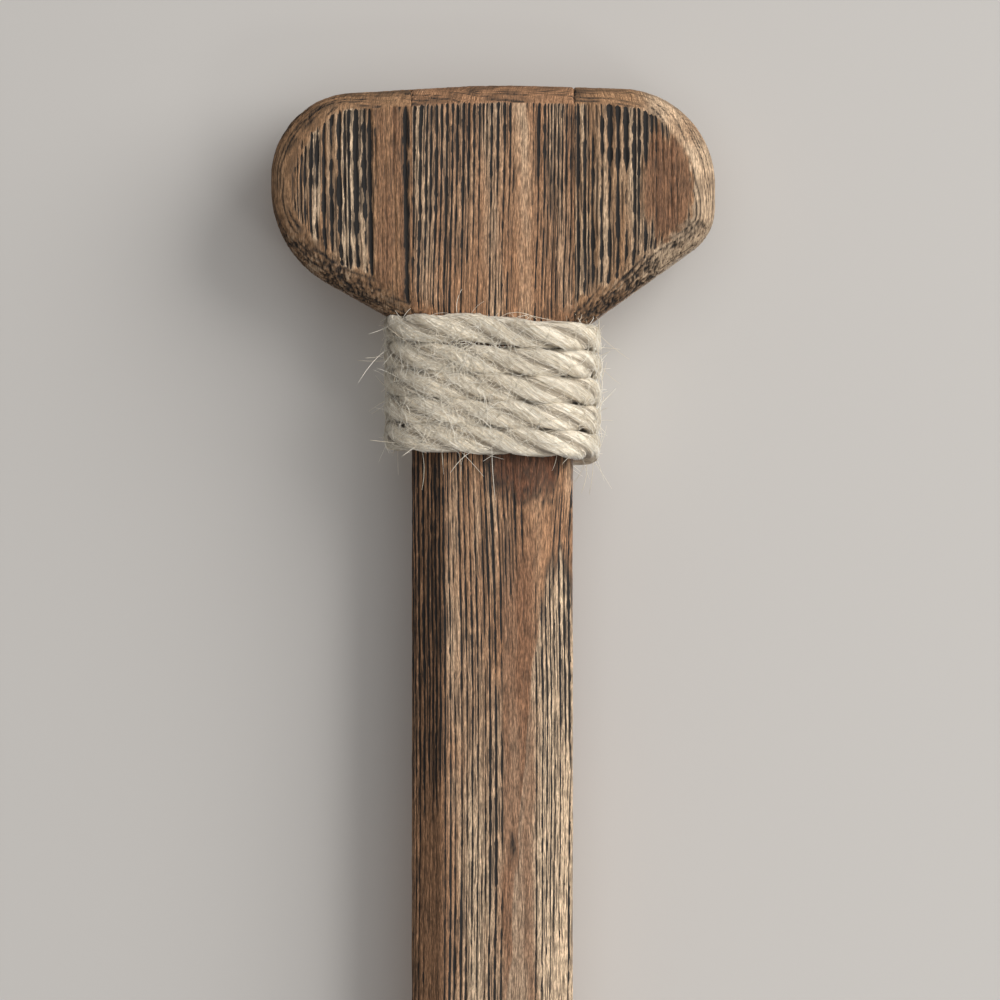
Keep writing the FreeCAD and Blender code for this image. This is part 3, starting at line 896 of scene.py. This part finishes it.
def wood_material(name, seed, warmth):
    """Brushed, stained softwood: the carved grain's numbers, plus fibres too fine to carve."""
    material, tree, surface = new_material(name)
    surface.inputs["Specular IOR Level"].default_value = 0.25
    ink, tone, red, cut = painted(tree, "grain")
    phase, strength, second, far = painted(tree, "rings")
    fibres = along_grain(tree, far, 0.21, 3.6, 3.0, seed)
    lines = along_grain(tree, far, 0.34, 14.0, 2.0, seed + 3.0)
    specks = streaks(tree, (3600.0, 3600.0, 900.0), 2.0, seed + 5.0)
    cloud = streaks(tree, (160.0, 160.0, 22.0), 3.0, seed + 9.0)
    shade = arithmetic(tree, "ADD", tone, arithmetic(tree, "MULTIPLY", cloud, 0.5))
    brown_to_orange = colour_mix(tree, remap(tree, shade, 0.15, 0.62), WOOD_BROWN, warmth)
    base = colour_mix(tree, remap(tree, shade, 0.55, 1.15), brown_to_orange, WOOD_TAN)
    base = colour_mix(tree, red, base, WOOD_RED)
    fleck = remap(tree, fibres, 0.30, 0.70, 0.42, 1.42)
    fleck = arithmetic(tree, "MULTIPLY", fleck, remap(tree, specks, 0.3, 0.7, 0.64, 1.32))
    fleck_colour = add_node(tree, "ShaderNodeCombineColor")
    for socket in fleck_colour.inputs:
        tree.links.new(fleck, socket)
    base = colour_mix(tree, 1.0, base, fleck_colour.outputs[0], "MULTIPLY")
    base = colour_mix(tree, arithmetic(tree, "MULTIPLY", cut, 0.5), base, STAIN_BROWN)
    line_share = arithmetic(tree, "MULTIPLY", remap(tree, lines, 0.56, 0.70), 0.62)
    base = colour_mix(tree, line_share, base, STAIN_BROWN)
    ragged = arithmetic(tree, "MULTIPLY", arithmetic(tree, "SUBTRACT", fibres, 0.5), 1.9)
    grit = arithmetic(tree, "MULTIPLY", arithmetic(tree, "SUBTRACT", specks, 0.5), 1.1)
    ragged = arithmetic(tree, "ADD", ragged, grit)
    from_middle = arithmetic(tree, "SUBTRACT", phase, arithmetic(tree, "ROUND", phase))
    near = arithmetic(tree, "ABSOLUTE", from_middle)
    fade = arithmetic(tree, "MULTIPLY", near, -4.4)
    groove = arithmetic(tree, "ADD", arithmetic(tree, "ADD", strength, fade), ragged)
    groove = remap(tree, groove, 0.14, 0.60)
    fade = arithmetic(tree, "MULTIPLY", arithmetic(tree, "SUBTRACT", 0.5, near), -5.0)
    thin = arithmetic(tree, "ADD", arithmetic(tree, "ADD", second, fade), ragged)
    thin = remap(tree, thin, 0.25, 0.85, 0.0, 0.70)
    inked = arithmetic(tree, "ADD", ink, arithmetic(tree, "MULTIPLY", ragged, remap(tree, ink, 0.0, 0.2)))
    dark = arithmetic(tree, "MAXIMUM", arithmetic(tree, "MAXIMUM", groove, thin), inked)
    base = colour_mix(tree, remap(tree, dark, 0.10, 0.55, 0.0, 0.8), base, STAIN_BROWN)
    base = colour_mix(tree, remap(tree, dark, 0.45, 0.95), base, STAIN_BLACK)
    tree.links.new(base, surface.inputs["Base Color"])
    tree.links.new(remap(tree, fibres, 0.2, 0.8, 0.62, 0.86), surface.inputs["Roughness"])
    bump = add_node(tree, "ShaderNodeBump")
    bump.inputs["Strength"].default_value = 0.9
    bump.inputs["Distance"].default_value = 0.00020
    height = arithmetic(tree, "ADD", fibres, arithmetic(tree, "MULTIPLY", specks, 0.5))
    tree.links.new(height, bump.inputs["Height"])
    tree.links.new(bump.outputs[0], surface.inputs["Normal"])
    return material


def wooden_piece(name, shape, plank, material, node, band=130.0, split_at=0):
    """Carves a shape, paints it and puts it in the place of a CAD node."""
    points, normals, faces = shape
    carved, grain, rings = carve(points, normals, plank)
    piece = new_piece(name, carved, faces, material)
    paint(piece, "grain", grain)
    paint(piece, "rings", rings)
    unwrap_wood(piece.data, band, split_at)
    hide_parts(node)


def make_wood():
    stick_wood = wood_material("stick_wood", 3.0, WOOD_ORANGE)
    cheek_wood = wood_material("cheek_wood", 11.0, (0.37, 0.21, 0.11))
    blade_wood = wood_material("blade_wood", 17.0, WOOD_ORANGE)
    blank = grip_blank()
    left = grip_piece(blank, None, -HALF_WIDTH, PIECE_FOOT["left"])
    right = grip_piece(blank, HALF_WIDTH, None, PIECE_FOOT["right"])
    head = grip_piece(blank, -HALF_WIDTH, HALF_WIDTH, PIECE_FOOT["middle"])
    blank.free()
    points, faces = shaft_mesh()
    stick = joined([head, (points, normals_of(points, faces), faces)])
    wooden_piece("oar_stick", stick, "stick", stick_wood, "stick", 190.0, len(head[2]))
    wooden_piece("grip_left", left, "left", cheek_wood, "grip_cheek_left")
    wooden_piece("grip_right", right, "right", cheek_wood, "grip_cheek_right")
    for side in ("left", "right"):
        node = "blade_board_" + side
        wooden_piece("blade_" + side, board_shape(node), "blade_" + side, blade_wood, node)


# ---- Rope

ROPE_DIAMETER = 6.6
ROPE_PITCH = 6.7
ROPE_TOP = -60.8  # height of the rope's middle where its first pass meets the front's left corner
FRONT_PASSES = 5
ROPE_END_X = 4.0
ROPE_BEND = 11.35
LOOP_STEP = 0.25
STRANDS = 3
STRAND_RADIUS = 2.0
STRAND_OFFSET = 1.55  # of a strand's middle from the rope's
LAY = 36.0
STRAND_SIDES = 46
STRAND_ROW = 0.9
SQUARENESS = 3.2  # 2 would leave each turn round


def rope_loop():
    """One turn of the rope seen from above, from the middle of the back towards the left."""
    half_x = rope_hi.x / MM - ROPE_DIAMETER / 2
    half_y = (rope_hi.y - MIDDLE_Y) / MM - ROPE_DIAMETER / 2
    corners = np.array([(-half_x, half_y), (-half_x, -half_y), (half_x, -half_y), (half_x, half_y)])
    line = [np.array([[0.0, half_y]])]
    for i in range(4):
        line.append(arc_points(corners[i - 1], corners[i], corners[(i + 1) % 4], ROPE_BEND))
    return even_steps(np.vstack(line), LOOP_STEP)


class Rope:
    """The rope's middle line, and the directions round it, at any distance along it."""

    def __init__(self):
        self.loop = rope_loop()
        self.turn = len(self.loop) * LOOP_STEP
        self.start = ROPE_END_X
        self.end = self.turn * FRONT_PASSES - ROPE_END_X
        corner = self.loop[:, 0] + self.loop[:, 1]
        self.front_left = np.argmin(corner) * LOOP_STEP

    def flat(self, s):
        """Where the middle line lies, seen from above."""
        place = (s % self.turn) / LOOP_STEP
        closed = np.vstack([self.loop, self.loop[:1]])
        index = np.arange(len(closed))
        return np.stack([np.interp(place, index, closed[:, i]) for i in (0, 1)], -1)

    def frame(self, s):
        """Middle, tangent, outward and third direction at each distance."""
        flat = self.flat(s)
        step = 0.8
        along = self.flat(s + step) - self.flat(s - step)
        along /= np.linalg.norm(along, axis=-1)[..., None]
        outward = np.stack([-along[..., 1], along[..., 0]], -1)
        facing = np.sign((outward * flat).sum(-1))[..., None]
        outward = outward * facing
        z = ROPE_TOP - ROPE_PITCH * (s - self.front_left) / self.turn
        z = z + 0.22 * noise(91, s / 23) + 0.9 * np.exp(-(((s - self.front_left - 16) / 9) ** 2))
        swell = 0.10 + 0.16 * noise(92, s / 19)
        middle = np.concatenate([flat + outward * swell[..., None], z[..., None]], -1)
        zero = np.zeros_like(z)[..., None]
        slope = np.full_like(z, -ROPE_PITCH / self.turn)[..., None]
        tangent = np.concatenate([along, slope], -1)
        tangent /= np.linalg.norm(tangent, axis=-1)[..., None]
        out = np.concatenate([outward, zero], -1)
        return middle, tangent, out, np.cross(tangent, out)

    def surface_radius(self, s, angle):
        """How far out the outermost strand reaches in a direction round the rope."""
        best = np.full(np.broadcast(s, angle).shape, 1.2)
        for strand in range(STRANDS):
            away = angle - (2 * math.pi * (s / LAY + strand / STRANDS))
            inside = STRAND_RADIUS**2 - (STRAND_OFFSET * np.sin(away)) ** 2
            reach = STRAND_OFFSET * np.cos(away) + np.sqrt(np.maximum(inside, 0))
            best = np.where((inside > 0) & (reach > best), reach, best)
        return best


STRAND_BANDS = 8


def unwrap_strand(mesh, rows):
    """The strand laid flat in bands, one above the other."""
    corner_point, corner_face = loops_of(mesh)
    row, side = np.divmod(corner_point, STRAND_SIDES)
    wall_row, wall_side = np.divmod(corner_face, STRAND_SIDES)
    side = np.where((wall_side == STRAND_SIDES - 1) & (side == 0), STRAND_SIDES, side)
    band_rows = math.ceil(rows / STRAND_BANDS)
    band = np.minimum(wall_row // band_rows, STRAND_BANDS - 1)
    u = 0.01 + 0.98 * (row - band * band_rows) / band_rows
    v = (band + 0.03 + 0.94 * side / STRAND_SIDES) / STRAND_BANDS
    store_unwrap(mesh, np.stack([u, v], 1))


def packed(away, out, third):
    """How much further out a point goes because the turns press each other square."""
    outward = np.abs((away * out).sum(-1))
    across = np.abs((away * third).sum(-1))
    return np.hypot(outward, across) / (outward**SQUARENESS + across**SQUARENESS) ** (1 / SQUARENESS)


def strand_mesh(rope, strand):
    """Points and faces of one strand: a tube wound round the rope's middle line."""
    s = np.arange(rope.start, rope.end, STRAND_ROW)
    middle, _, out, third = rope.frame(s)
    lay = 2 * math.pi * (s / LAY + strand / STRANDS)
    toward = np.cos(lay)[:, None] * out + np.sin(lay)[:, None] * third
    sideways = -np.sin(lay)[:, None] * out + np.cos(lay)[:, None] * third
    around = np.linspace(0, 2 * math.pi, STRAND_SIDES, endpoint=False)
    sg, ag = np.meshgrid(s, around, indexing="ij")
    twisted = ag - sg * 0.10
    fluff = layered(101 + strand, sg / 6, twisted / 0.32)
    tuft = layered(111 + strand, sg / 2.2, ag / 0.6)
    thread = noise(115 + strand, sg / 3.5, twisted / 0.14)
    radius = STRAND_RADIUS * (0.96 + 0.05 * fluff + 0.035 * tuft + 0.03 * thread)
    near_end = np.minimum(sg - rope.start, rope.end - sg)
    radius = radius * (0.75 + 0.25 * ramp(0, 4, near_end))
    ring = np.cos(ag)[..., None] * toward[:, None] + np.sin(ag)[..., None] * sideways[:, None]
    away = toward[:, None] * STRAND_OFFSET + ring * radius[..., None]
    away = away * packed(away, out[:, None], third[:, None])[..., None]
    points = (middle[:, None] + away).reshape(-1, 3)
    rows, sides = len(s), STRAND_SIDES
    faces = []
    for row in range(rows - 1):
        for i in range(sides):
            j = (i + 1) % sides
            a, b = row * sides + i, row * sides + j
            faces.append((a, a + sides, b + sides, b))
    faces.append(tuple(range(sides)))
    faces.append(tuple((rows - 1) * sides + i for i in range(sides))[::-1])
    light = 0.5 + 0.5 * layered(121 + strand, sg / 11, ag / 0.9)
    fine = 0.5 + 0.5 * layered(131 + strand, sg / 5, twisted / 0.15)
    reach = np.linalg.norm(away, axis=2)
    sideways_reach = np.abs((away * third[:, None]).sum(-1))
    # Painted shade: points deep between strands, out towards the next turn or in dents of the strand get low
    # values, which the material darkens.
    depth = ramp(2.5, 3.15, reach) * ramp(3.7, 2.9, sideways_reach)
    depth = depth * ramp(0.86, 0.98, radius / STRAND_RADIUS)
    colours = np.stack([depth, light, fine, np.ones_like(light)], -1).reshape(-1, 4)
    return points, faces, colours


def hair_tubes(lines, radii):
    """Three-sided tapering tubes along many short lines, as one mesh. lines is fibre, step, xyz."""
    count, steps, _ = lines.shape
    along = np.gradient(lines, axis=1)
    along /= np.linalg.norm(along, axis=2)[..., None] + 1e-9
    helper = np.where(np.abs(along[..., 2:3]) < 0.9, (0.0, 0.0, 1.0), (1.0, 0.0, 0.0))
    side = np.cross(along, helper)
    side /= np.linalg.norm(side, axis=2)[..., None]
    up = np.cross(along, side)
    taper = 0.35 + 0.65 * np.sin(np.linspace(0.15, math.pi - 0.15, steps)) ** 0.5
    points = []
    for corner in range(3):
        angle = 2 * math.pi * corner / 3
        offset = side * math.cos(angle) + up * math.sin(angle)
        points.append(lines + offset * (radii[:, None] * taper)[..., None])
    points = np.stack(points, 2).reshape(-1, 3)
    base = np.arange(count)[:, None, None] * steps * 3
    step = np.arange(steps - 1)[None, :, None] * 3
    corner = np.arange(3)[None, None, :]
    a = (base + step + corner).ravel()
    b = (base + step + (corner + 1) % 3).ravel()
    faces = np.stack([a, b, b + 3, a + 3], 1).tolist()
    start = np.arange(count) * steps * 3
    end = start + (steps - 1) * 3
    faces += np.stack([start + 2, start + 1, start], 1).tolist()
    faces += np.stack([end, end + 1, end + 2], 1).tolist()
    return points, faces


LAID_FIBRES = 7500
LOOSE_FIBRES = 1300
STRAY_FIBRES = 520
FIBRE_STEPS = 8
ROPE_FOOT = ROPE_TOP - ROPE_PITCH * (FRONT_PASSES - 1)
BACK_LIMIT = (rope_hi.y - MIDDLE_Y) / MM + 0.4  # no fibre goes into the wall that the oar leans on


def laid_fibres(rope, draw):
    """Fibres that lie along the rope's surface, each at its own small angle."""
    count = LAID_FIBRES
    length = draw.uniform(4, 20, count)
    start = draw.uniform(rope.start + 1, rope.end - 10, count)
    turned = draw.uniform(-1.9, 1.9, count)
    drift = 2 * math.pi / LAY + draw.normal(0.0, 0.025, count)
    share = np.linspace(0, 1, FIBRE_STEPS)[None, :]
    s = start[:, None] + length[:, None] * share
    bend = draw.normal(0, 0.12, count)[:, None] * np.sin(share * math.pi)
    angle = turned[:, None] + drift[:, None] * length[:, None] * share + bend
    lift = draw.gamma(1.2, 0.05, count)[:, None] * (0.2 + np.sin(share * math.pi))
    middle, _, out, third = rope.frame(np.minimum(s, rope.end))
    direction = np.cos(angle)[..., None] * out + np.sin(angle)[..., None] * third
    reach = rope.surface_radius(s, angle)
    away = direction * reach[..., None]
    sideways_reach = np.abs((away * third).sum(-1))
    away = away * packed(away, out, third)[..., None] + direction * (lift - 0.02)[..., None]
    # Painted shade: fibres that lie deep between strands or out towards the next turn get low values, which
    # the material darkens.
    depth = ramp(2.75, 3.35, reach) * ramp(3.6, 2.7, sideways_reach)
    return middle + away, draw.uniform(0.05, 0.105, count), depth


def loose_fibres(rope, draw):
    """Fibres that wander over several turns at any angle, most of them on the left."""
    count = LOOSE_FIBRES
    left = draw.random(count) < 0.5
    start = np.where(left, rope.front_left + draw.normal(9, 9, count), draw.uniform(0, rope.turn, count))
    height = draw.uniform(ROPE_FOOT - 3.5, ROPE_TOP + 3.5, count)
    heading = draw.normal(0, 1.0, count) + math.pi / 2 * (draw.random(count) < 0.5)
    length = draw.gamma(4.0, 1.3, count) + 1.5
    bend = draw.normal(0, 1.5, count)
    share = np.linspace(0, 1, FIBRE_STEPS)[None, :]
    turn = heading[:, None] + bend[:, None] * share
    s = start[:, None] + length[:, None] * share * np.cos(turn)
    z = height[:, None] + length[:, None] * share * np.sin(turn)
    middle, _, out, third = rope.frame(s % rope.turn)
    lift = draw.gamma(1.3, 0.16, count)[:, None] * np.sin(0.3 + share * 2.5)
    valley = 0.22 * np.cos(2 * math.pi * (z - middle[..., 2]) / ROPE_PITCH)
    edge = 0.9 * ramp(2.4, 4.0, np.abs(z - (ROPE_TOP + ROPE_FOOT) / 2) - (ROPE_TOP - ROPE_FOOT) / 2)
    lines = middle + out * (ROPE_DIAMETER / 2 + 0.1 + valley - edge + lift)[..., None]
    lines[..., 2] = z
    inside = (z.max(1) < ROPE_TOP + 4.2) & (z.min(1) > ROPE_FOOT - 4.4)
    return lines[inside], draw.uniform(0.04, 0.075, count)[inside], np.ones(lines[inside].shape[:2])


def stray_fibres(rope, draw):
    """Hairs that spring out of the rope and curl away."""
    count = STRAY_FIBRES
    start = draw.uniform(rope.start + 1, rope.end - 1, count)
    angle = draw.uniform(-1.7, 1.7, count)
    length = draw.gamma(3.0, 1.5, count) + 1.0
    middle, tangent, out, third = rope.frame(start)
    normal = np.cos(angle)[:, None] * out + np.sin(angle)[:, None] * third
    root = middle + normal * rope.surface_radius(start, angle)[:, None]
    heading = normal * draw.uniform(0.15, 0.8, count)[:, None]
    heading += tangent * draw.normal(0, 0.9, count)[:, None] + third * draw.normal(0, 0.8, count)[:, None]
    heading /= np.linalg.norm(heading, axis=1)[:, None]
    curl = np.cross(heading, draw.normal(0, 1, (count, 3)))
    curl /= np.linalg.norm(curl, axis=1)[:, None]
    share = np.linspace(0, 1, FIBRE_STEPS)[None, :, None]
    reach = length[:, None, None]
    lines = root[:, None] + heading[:, None] * reach * share
    lines = lines + curl[:, None] * reach * 0.55 * share**2 * draw.uniform(0.1, 1, count)[:, None, None]
    lines[..., 2] -= 0.012 * (reach[..., 0] * share[..., 0]) ** 2
    return lines, draw.uniform(0.045, 0.08, count), np.ones(lines.shape[:2])


def rope_material(name, pale, mid, deep):
    """Jute: pale fibres along the strands, darkened to brown by painted shade in the hollows between strands
    and turns, with a soft sheen.
    """
    material, tree, surface = new_material(name)
    surface.inputs["Roughness"].default_value = 0.85
    surface.inputs["Specular IOR Level"].default_value = 0.2
    surface.inputs["Sheen Weight"].default_value = 0.35
    surface.inputs["Sheen Roughness"].default_value = 0.5
    depth, light, fine = painted(tree, "grain")[:3]
    speck = streaks(tree, (1300.0, 1300.0, 3200.0), 3.0, 2.0)
    half_fine = arithmetic(tree, "MULTIPLY", fine, 0.5)
    blend = arithmetic(tree, "ADD", half_fine, arithmetic(tree, "MULTIPLY", speck, 0.6))
    body = colour_mix(tree, remap(tree, blend, 0.3, 0.8), mid, pale)
    body = colour_mix(tree, remap(tree, light, 0.35, 0.0, 0.0, 0.5), body, deep)
    # Painted shade: the hollows between strands and between turns are darkened towards the third colour.
    body = colour_mix(tree, remap(tree, depth, 0.40, 0.0, 0.0, 0.66), body, deep)
    tree.links.new(body, surface.inputs["Base Color"])
    bump = add_node(tree, "ShaderNodeBump")
    bump.inputs["Strength"].default_value = 0.6
    bump.inputs["Distance"].default_value = 0.00015
    tree.links.new(blend, bump.inputs["Height"])
    tree.links.new(bump.outputs[0], surface.inputs["Normal"])
    return material


def make_rope():
    rope = Rope()
    # The third colour of each jute material is its darker tone and also the colour of the painted shade in
    # the rope's hollows.
    jute = rope_material("jute", (0.97, 0.90, 0.77), (0.76, 0.66, 0.50), (0.25, 0.19, 0.125))
    for strand in range(STRANDS):
        points, faces, colours = strand_mesh(rope, strand)
        piece = new_piece("rope_strand_" + "abc"[strand], points, faces, jute)
        paint(piece, "grain", colours)
        unwrap_strand(piece.data, len(points) // STRAND_SIDES)
        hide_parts("rope_binding")
    draw = np.random.default_rng(5)
    hairs = rope_material("jute_hair", (0.97, 0.92, 0.81), (0.76, 0.67, 0.52), (0.34, 0.265, 0.18))
    groups = [laid_fibres(rope, draw), loose_fibres(rope, draw), stray_fibres(rope, draw)]
    lines = np.concatenate([group[0] for group in groups])
    lines[..., 1] = np.minimum(lines[..., 1], BACK_LIMIT)
    radii = np.concatenate([group[1] for group in groups])
    depths = np.concatenate([group[2] for group in groups])
    order = draw.permutation(len(lines))
    for name, part in zip("abc", np.array_split(order, 3)):
        points, faces = hair_tubes(lines[part], radii[part])
        piece = new_piece("rope_fibres_" + name, points, faces, hairs)
        tint = np.repeat(draw.random(len(part)), FIBRE_STEPS * 3)
        # The depths carry the painted shade of the laid fibres; the loose and stray fibres get none.
        depth = np.repeat(depths[part].ravel(), 3)
        paint(piece, "grain", np.stack([depth, 0.1 + 0.9 * tint, tint, np.ones_like(tint)], 1))
        unwrap_tubes(piece.data, FIBRE_STEPS, 3, len(part), math.ceil(math.sqrt(len(part))))


# ---- Dowels and tacks


def plain_wood(name):
    """Pale turned dowel wood with fine lines."""
    material, tree, surface = new_material(name)
    surface.inputs["Roughness"].default_value = 0.7
    lines = streaks(tree, (60.0, 1400.0, 1400.0), 3.0, 4.0)
    colour = colour_mix(tree, lines, (0.42, 0.27, 0.15), (0.66, 0.48, 0.30))
    tree.links.new(colour, surface.inputs["Base Color"])
    return material


def dull_steel(name):
    """Steel that has lost its shine in patches, with some rust."""
    material, tree, surface = new_material(name)
    surface.inputs["Metallic"].default_value = 1.0
    patches = streaks(tree, (900.0, 900.0, 900.0), 4.0, 6.0)
    tree.links.new(remap(tree, patches, 0.3, 0.7, 0.32, 0.6), surface.inputs["Roughness"])
    rusty = remap(tree, patches, 0.52, 0.72)
    colour = colour_mix(tree, rusty, (0.33, 0.32, 0.31), (0.16, 0.09, 0.05))
    tree.links.new(colour, surface.inputs["Base Color"])
    return material


def finish_node(node, material):
    """Gives a CAD node that stays in sight a material of its own."""
    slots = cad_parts[node].data.materials
    slots.clear()
    slots.append(material)


make_camera()
make_lights()
make_stage()
make_wood()
make_rope()
dowel_wood = plain_wood("dowel_wood")
finish_node("grip_dowels", dowel_wood)
finish_node("blade_dowels", dowel_wood)
finish_node("rope_tacks", dull_steel("tack_steel"))
